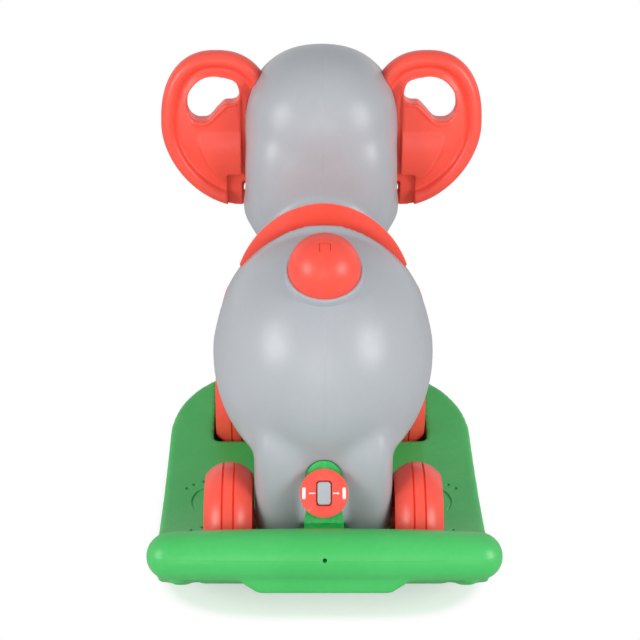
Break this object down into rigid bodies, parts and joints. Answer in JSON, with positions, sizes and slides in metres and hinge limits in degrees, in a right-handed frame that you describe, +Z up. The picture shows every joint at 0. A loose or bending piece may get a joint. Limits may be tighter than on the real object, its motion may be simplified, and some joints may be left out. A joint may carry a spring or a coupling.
{
  "type": "rocking ride-on elephant",
  "caption": "Hollow plastic ride-on elephant on free-turning wheels, standing in a rocker base with a quarter-turn lock; ear handles, seat with a raised rear edge and a domed tail.",
  "frame": {"origin": "on the ground, in the middle of the bounding box", "axes": "+Z up, the elephant faces -Y, +X towards the elephant's left"},
  "size_m": [0.3366, 0.5095, 0.4785],
  "materials": {
    "grey_plastic": "satin blow-moulded polyethylene",
    "red_plastic": "semi-gloss moulded plastic",
    "green_plastic": "satin blow-moulded polyethylene",
    "deep_green_plastic": "semi-gloss moulded plastic",
    "white_plastic": "gloss moulded plastic",
    "black_plastic": "gloss moulded plastic",
    "nylon": "plain nylon",
    "zinc_steel": "zinc-plated steel"
  },
  "bodies": {
    "base": {"rocker_base": "green_plastic", "latch_bracket": "deep_green_plastic", "bracket_screw_1": "zinc_steel", "bracket_screw_2": "zinc_steel"},
    "latch": {"lock_knob": "red_plastic", "lock_spindle": "grey_plastic", "lock_cam": "nylon", "lock_cam_screw": "zinc_steel"},
    "elephant": {"ear_left": "red_plastic", "ear_right": "red_plastic", "saddle": "red_plastic", "tail": "red_plastic", "side_cap_left": "red_plastic", "side_cap_right": "red_plastic", "ear_screw_left": "zinc_steel", "ear_screw_right": "zinc_steel", "tail_screw": "zinc_steel", "front_axle": "zinc_steel", "rear_axle": "zinc_steel", "saddle_screw_1": "zinc_steel", "saddle_screw_2": "zinc_steel", "saddle_screw_3": "zinc_steel", "saddle_screw_4": "zinc_steel", "push_nut_front_left": "zinc_steel", "push_nut_front_right": "zinc_steel", "push_nut_rear_left": "zinc_steel", "push_nut_rear_right": "zinc_steel", "elephant_body": "grey_plastic", "axle_bush_front_left": "nylon", "axle_bush_front_right": "nylon", "axle_bush_rear_left": "nylon", "axle_bush_rear_right": "nylon", "eye_white_left": "white_plastic", "eye_white_right": "white_plastic", "eye_pupil_left": "black_plastic", "eye_pupil_right": "black_plastic"},
    "wheel_front_left_set": {"wheel_front_left": "red_plastic", "hub_cap_front_left": "white_plastic"},
    "wheel_front_right_set": {"wheel_front_right": "red_plastic", "hub_cap_front_right": "white_plastic"},
    "wheel_rear_left_set": {"wheel_rear_left": "red_plastic", "hub_cap_rear_left": "white_plastic"},
    "wheel_rear_right_set": {"wheel_rear_right": "red_plastic", "hub_cap_rear_right": "white_plastic"}
  },
  "joints": [
    {"name": "elephant_lift", "type": "slide", "parent": "base", "child": "elephant", "axis": [0, -0.4695, 0.8829], "range_m": [0, 0.12]},
    {"name": "lock_knob_turn", "type": "hinge", "parent": "base", "child": "latch", "pos_m": [0, 0.184, 0.143], "axis": [0, 0.8829, 0.4695], "range_deg": [0, 90]},
    {"name": "wheel_front_left_spin", "type": "hinge", "parent": "elephant", "child": "wheel_front_left_set", "pos_m": [0, -0.13, 0.085], "axis": [1, 0, 0], "continuous": true},
    {"name": "wheel_front_right_spin", "type": "hinge", "parent": "elephant", "child": "wheel_front_right_set", "pos_m": [0, -0.13, 0.085], "axis": [1, 0, 0], "continuous": true},
    {"name": "wheel_rear_left_spin", "type": "hinge", "parent": "elephant", "child": "wheel_rear_left_set", "pos_m": [0, 0.136, 0.085], "axis": [1, 0, 0], "continuous": true},
    {"name": "wheel_rear_right_spin", "type": "hinge", "parent": "elephant", "child": "wheel_rear_right_set", "pos_m": [0, 0.136, 0.085], "axis": [1, 0, 0], "continuous": true}
  ]
}
